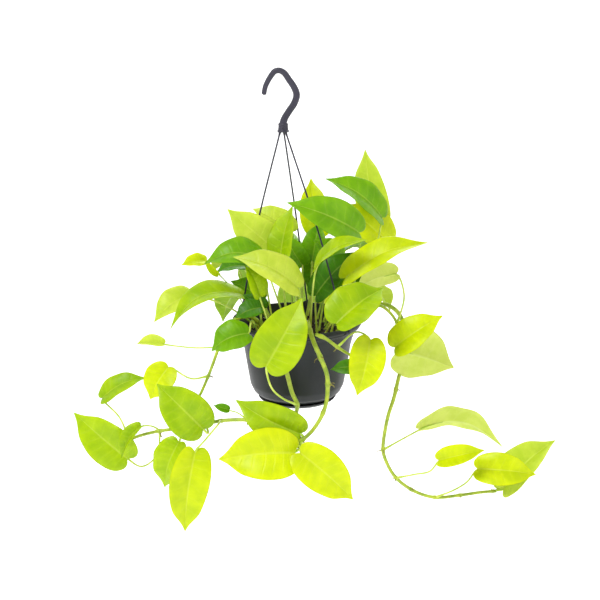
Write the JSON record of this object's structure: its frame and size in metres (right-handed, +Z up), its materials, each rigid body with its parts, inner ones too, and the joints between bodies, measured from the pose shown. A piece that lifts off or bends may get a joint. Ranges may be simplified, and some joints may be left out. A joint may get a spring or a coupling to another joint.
{
  "type": "potted pothos plant in a hanging pot",
  "caption": "Golden pothos with broad yellow-green leaves and trailing stems, growing in a dark plastic hanging pot on a moulded three-strand hanger with a hook.",
  "frame": {"origin": "the point where the hook hangs: the inside of the top of the hook's bend", "axes": "+Z up, +X to the side where the longest stem trails, -Y the plant's front; the pot's axis is parallel to Z, 20 mm towards +X"},
  "size_m": [0.5903, 0.2778, 0.534],
  "materials": {
    "pot_plastic": "satin",
    "hanger_plastic": "satin",
    "potting_soil": "matte",
    "stem_green": "satin",
    "leaf_yellow": "satin",
    "leaf_fresh": "satin",
    "leaf_green": "satin",
    "leaf_deep": "satin",
    "leaf_pale": "satin"
  },
  "bodies": {
    "root": {"hanger_hook": "hanger_plastic", "hanger_strand_1": "hanger_plastic", "hanger_strand_2": "hanger_plastic", "hanger_strand_3": "hanger_plastic", "pot": "pot_plastic", "drip_saucer": "pot_plastic", "soil": "potting_soil", "vine_front": "stem_green", "vine_left_long": "stem_green", "vine_left_short": "stem_green", "side_shoot": "stem_green", "vine_right": "stem_green", "crown_shoot": "stem_green", "leaf_top_pale": "leaf_pale", "leaf_top_green": "leaf_green", "leaf_top_small": "leaf_yellow", "leaf_crown_big": "leaf_green", "leaf_crown_behind": "leaf_yellow", "leaf_crown_light": "leaf_fresh", "leaf_crown_shade": "leaf_deep", "leaf_right_bright": "leaf_yellow", "leaf_right_under": "leaf_pale", "leaf_front_cupped": "leaf_fresh", "leaf_crown_left": "leaf_pale", "leaf_crown_left_back": "leaf_pale", "leaf_crown_upright": "leaf_fresh", "leaf_left_humped": "leaf_green", "leaf_front_pale": "leaf_pale", "leaf_front_small": "leaf_fresh", "leaf_left_shade": "leaf_deep", "leaf_left_arching": "leaf_fresh", "leaf_left_far": "leaf_pale", "leaf_left_tiny": "leaf_yellow", "leaf_front_shade": "leaf_deep", "leaf_rim_left": "leaf_green", "leaf_front_big": "leaf_fresh", "leaf_left_curled": "leaf_pale", "leaf_left_round": "leaf_yellow", "leaf_far_left_back": "leaf_fresh", "leaf_far_left_tip": "leaf_fresh", "leaf_far_left_curl": "leaf_fresh", "leaf_low_left_broad": "leaf_fresh", "leaf_low_left_behind": "leaf_fresh", "leaf_low_left_long": "leaf_yellow", "leaf_low_left_small": "leaf_green", "leaf_low_mid_top": "leaf_fresh", "leaf_low_mid_front": "leaf_yellow", "leaf_low_mid_right": "leaf_yellow", "leaf_right_heart": "leaf_yellow", "leaf_right_low": "leaf_deep", "leaf_right_edge": "leaf_yellow", "leaf_right_reverse": "leaf_pale", "leaf_low_right_long": "leaf_pale", "leaf_low_right_tongue": "leaf_yellow", "leaf_low_right_mid": "leaf_yellow", "leaf_low_right_end": "leaf_pale", "leaf_back_left": "leaf_green", "leaf_back_right": "leaf_fresh", "leaf_back_middle": "leaf_green"}
  },
  "joints": []
}
